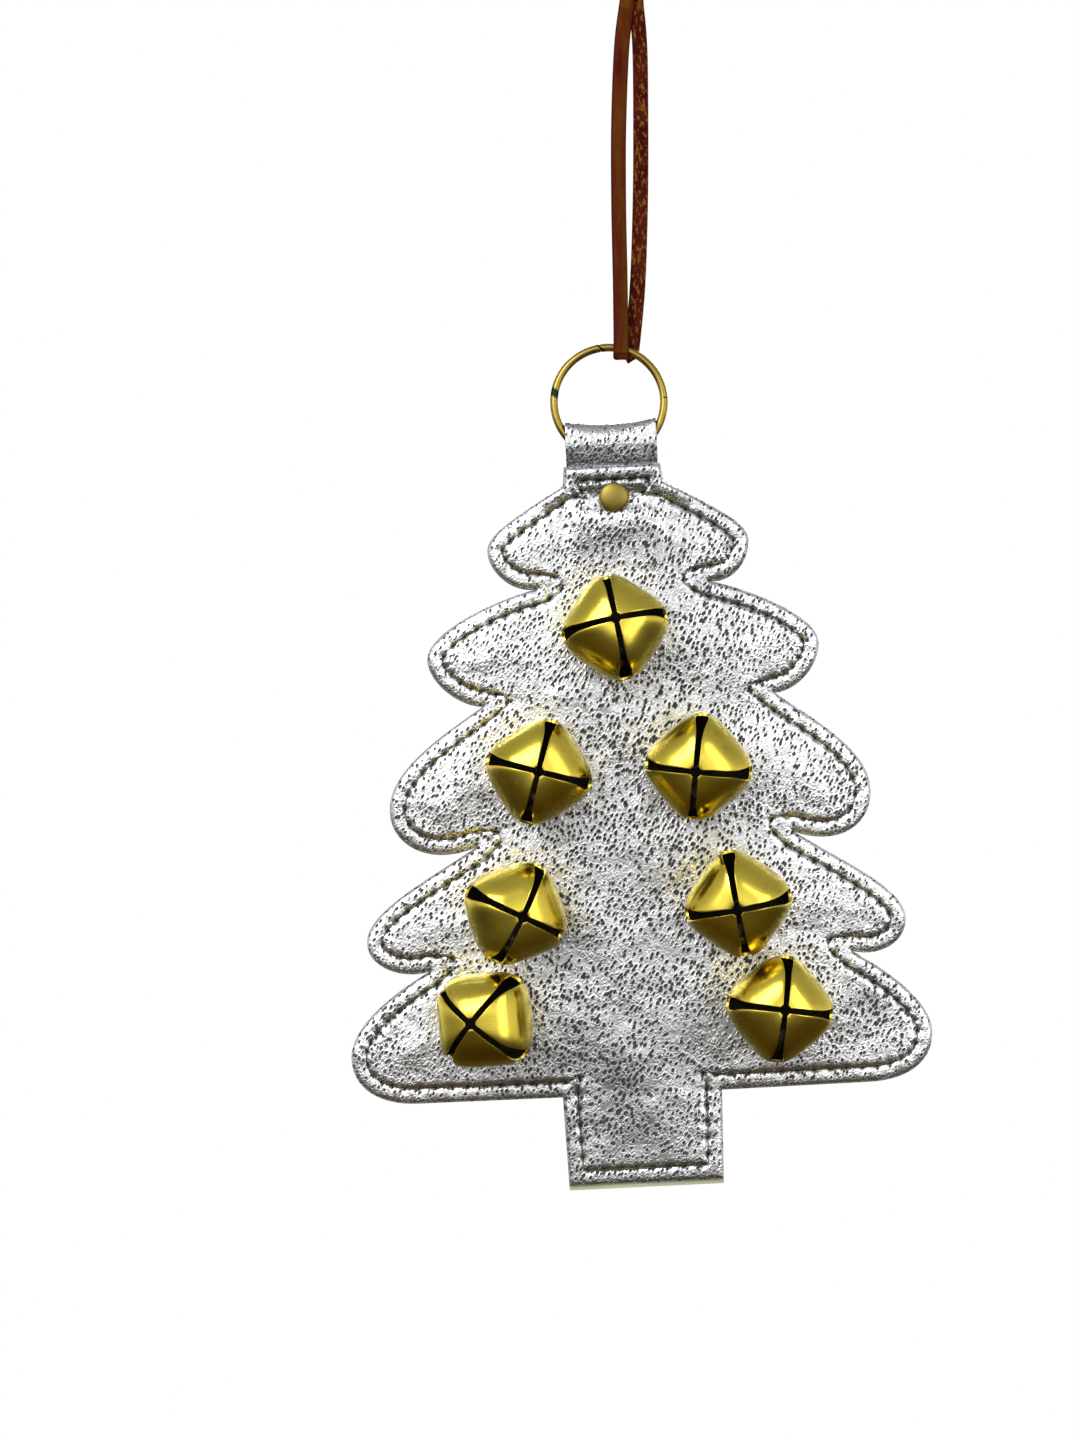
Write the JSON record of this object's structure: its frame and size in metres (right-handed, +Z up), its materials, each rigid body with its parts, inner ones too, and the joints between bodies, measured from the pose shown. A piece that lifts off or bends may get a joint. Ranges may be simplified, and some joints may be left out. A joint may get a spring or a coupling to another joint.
{
  "type": "sleigh bell door hanger",
  "caption": "Stitched leather tree on a brass ring and lace, carrying four-slot brass sleigh bells on loose wire shanks, for hanging on a door.",
  "frame": {"origin": "middle of the lace's knot, where the hanger is hung", "axes": "+Z up the lace, -Y out of the bells' fronts, +X to the right as seen from the front"},
  "size_m": [0.1442, 0.0404, 0.3183],
  "materials": {
    "silver_leather": "metallic silver foil on pebble-grained leather",
    "natural_leather": "natural tan back leather",
    "core_board": "bonded leather board, hidden inside",
    "thread": "waxed polyester thread",
    "brass": "satin, slightly worn",
    "rivet_brass": "dull brass plate",
    "steel": "plain drawn wire and balls",
    "lace_leather": "dark red-brown latigo, smooth on one side and fleshy on the other"
  },
  "bodies": {
    "knot": {"lace_knot": "lace_leather"},
    "lace": {"lace": "lace_leather"},
    "ring": {"ring": "brass"},
    "tree": {"front_panel": "silver_leather", "core_board": "core_board", "back_panel": "natural_leather", "front_stitching": "thread", "back_stitching": "thread", "hanging_strap": "silver_leather", "rivet_cap": "rivet_brass", "rivet_post": "rivet_brass", "bell_1_pin": "steel", "bell_2_pin": "steel", "bell_3_pin": "steel", "bell_4_pin": "steel", "bell_5_pin": "steel", "bell_6_pin": "steel", "bell_7_pin": "steel"},
    "shank_1": {"bell_1_shank": "steel"},
    "bell_1": {"bell_1_shell": "brass"},
    "pellet_1": {"bell_1_pellet": "steel"},
    "shank_2": {"bell_2_shank": "steel"},
    "bell_2": {"bell_2_shell": "brass"},
    "pellet_2": {"bell_2_pellet": "steel"},
    "shank_3": {"bell_3_shank": "steel"},
    "bell_3": {"bell_3_shell": "brass"},
    "pellet_3": {"bell_3_pellet": "steel"},
    "shank_4": {"bell_4_shank": "steel"},
    "bell_4": {"bell_4_shell": "brass"},
    "pellet_4": {"bell_4_pellet": "steel"},
    "shank_5": {"bell_5_shank": "steel"},
    "bell_5": {"bell_5_shell": "brass"},
    "pellet_5": {"bell_5_pellet": "steel"},
    "shank_6": {"bell_6_shank": "steel"},
    "bell_6": {"bell_6_shell": "brass"},
    "pellet_6": {"bell_6_pellet": "steel"},
    "shank_7": {"bell_7_shank": "steel"},
    "bell_7": {"bell_7_shell": "brass"},
    "pellet_7": {"bell_7_pellet": "steel"}
  },
  "joints": [
    {"name": "lace_sway", "type": "hinge", "parent": "knot", "child": "lace", "pos_m": [0, 0, 0], "axis": [0, 1, 0], "range_deg": [-40, 40]},
    {"name": "ring_swing", "type": "hinge", "parent": "lace", "child": "ring", "pos_m": [-0.00164, 0, -0.09523], "axis": [0.9542, 0, -0.299], "range_deg": [-45, 45]},
    {"name": "tree_swing", "type": "hinge", "parent": "ring", "child": "tree", "pos_m": [-0.00517, 0, -0.12034], "axis": [0.9988, 0, 0.0483], "range_deg": [-34.5, 25.5], "deforming": ["hanging_strap"]},
    {"name": "bell_1_tilt", "type": "hinge", "parent": "tree", "child": "shank_1", "pos_m": [-0.00449, 0.00327, -0.1676], "axis": [-0.9988, 0, -0.0483], "range_deg": [-27, 7]},
    {"name": "bell_1_spin", "type": "hinge", "parent": "shank_1", "child": "bell_1", "pos_m": [-0.00455, -0.01137, -0.16619], "axis": [-0.0046, -0.9954, 0.0957], "continuous": true},
    {"name": "pellet_1_roll", "type": "hinge", "parent": "bell_1", "child": "pellet_1", "pos_m": [-0.00455, -0.01137, -0.16619], "axis": [-0.0046, -0.9954, 0.0957], "continuous": true},
    {"name": "bell_2_tilt", "type": "hinge", "parent": "tree", "child": "shank_2", "pos_m": [-0.02305, 0.0058, -0.20074], "axis": [-0.6722, 0.0555, -0.7383], "range_deg": [-18, 16]},
    {"name": "bell_2_spin", "type": "hinge", "parent": "shank_2", "child": "bell_2", "pos_m": [-0.02326, -0.00887, -0.20165], "axis": [-0.0145, -0.998, -0.0618], "continuous": true},
    {"name": "pellet_2_roll", "type": "hinge", "parent": "bell_2", "child": "pellet_2", "pos_m": [-0.02326, -0.00887, -0.20165], "axis": [-0.0145, -0.998, -0.0618], "continuous": true},
    {"name": "bell_3_tilt", "type": "hinge", "parent": "tree", "child": "shank_3", "pos_m": [0.01741, 0.00573, -0.19785], "axis": [0.6862, 0.0596, -0.7249], "range_deg": [-26, 9.5]},
    {"name": "bell_3_spin", "type": "hinge", "parent": "shank_3", "child": "bell_3", "pos_m": [0.01593, -0.00867, -0.20044], "axis": [-0.1009, -0.9792, -0.176], "continuous": true},
    {"name": "pellet_3_roll", "type": "hinge", "parent": "bell_3", "child": "pellet_3", "pos_m": [0.01593, -0.00867, -0.20044], "axis": [-0.1009, -0.9792, -0.176], "continuous": true},
    {"name": "bell_4_tilt", "type": "hinge", "parent": "tree", "child": "shank_4", "pos_m": [-0.03158, 0.00843, -0.23455], "axis": [0.2273, -0.0755, 0.9709], "range_deg": [-27, 7.5]},
    {"name": "bell_4_spin", "type": "hinge", "parent": "shank_4", "child": "bell_4", "pos_m": [-0.0291, -0.00596, -0.23625], "axis": [0.1689, -0.9788, -0.1156], "continuous": true},
    {"name": "pellet_4_roll", "type": "hinge", "parent": "bell_4", "child": "pellet_4", "pos_m": [-0.0291, -0.00596, -0.23625], "axis": [0.1689, -0.9788, -0.1156], "continuous": true},
    {"name": "bell_5_tilt", "type": "hinge", "parent": "tree", "child": "shank_5", "pos_m": [0.02655, 0.00839, -0.23126], "axis": [0.8457, 0.045, -0.5318], "range_deg": [-24.5, 11]},
    {"name": "bell_5_spin", "type": "hinge", "parent": "shank_5", "child": "bell_5", "pos_m": [0.02565, -0.00604, -0.23391], "axis": [-0.0608, -0.9818, -0.1798], "continuous": true},
    {"name": "pellet_5_roll", "type": "hinge", "parent": "bell_5", "child": "pellet_5", "pos_m": [0.02565, -0.00604, -0.23391], "axis": [-0.0608, -0.9818, -0.1798], "continuous": true},
    {"name": "bell_6_tilt", "type": "hinge", "parent": "tree", "child": "shank_6", "pos_m": [-0.03196, 0.01051, -0.2611], "axis": [0.0482, 0.0785, -0.9958], "range_deg": [-36, 0]},
    {"name": "bell_6_spin", "type": "hinge", "parent": "shank_6", "child": "bell_6", "pos_m": [-0.03644, -0.00343, -0.26242], "axis": [-0.305, -0.9481, -0.0895], "continuous": true},
    {"name": "pellet_6_roll", "type": "hinge", "parent": "bell_6", "child": "pellet_6", "pos_m": [-0.03644, -0.00343, -0.26242], "axis": [-0.305, -0.9481, -0.0895], "continuous": true},
    {"name": "bell_7_tilt", "type": "hinge", "parent": "tree", "child": "shank_7", "pos_m": [0.0353, 0.01063, -0.25933], "axis": [-0.7403, -0.0555, 0.6699], "range_deg": [-21.5, 14]},
    {"name": "bell_7_spin", "type": "hinge", "parent": "shank_7", "child": "bell_7", "pos_m": [0.03602, -0.00405, -0.25976], "axis": [0.0485, -0.9984, -0.0291], "continuous": true},
    {"name": "pellet_7_roll", "type": "hinge", "parent": "bell_7", "child": "pellet_7", "pos_m": [0.03602, -0.00405, -0.25976], "axis": [0.0485, -0.9984, -0.0291], "continuous": true}
  ]
}
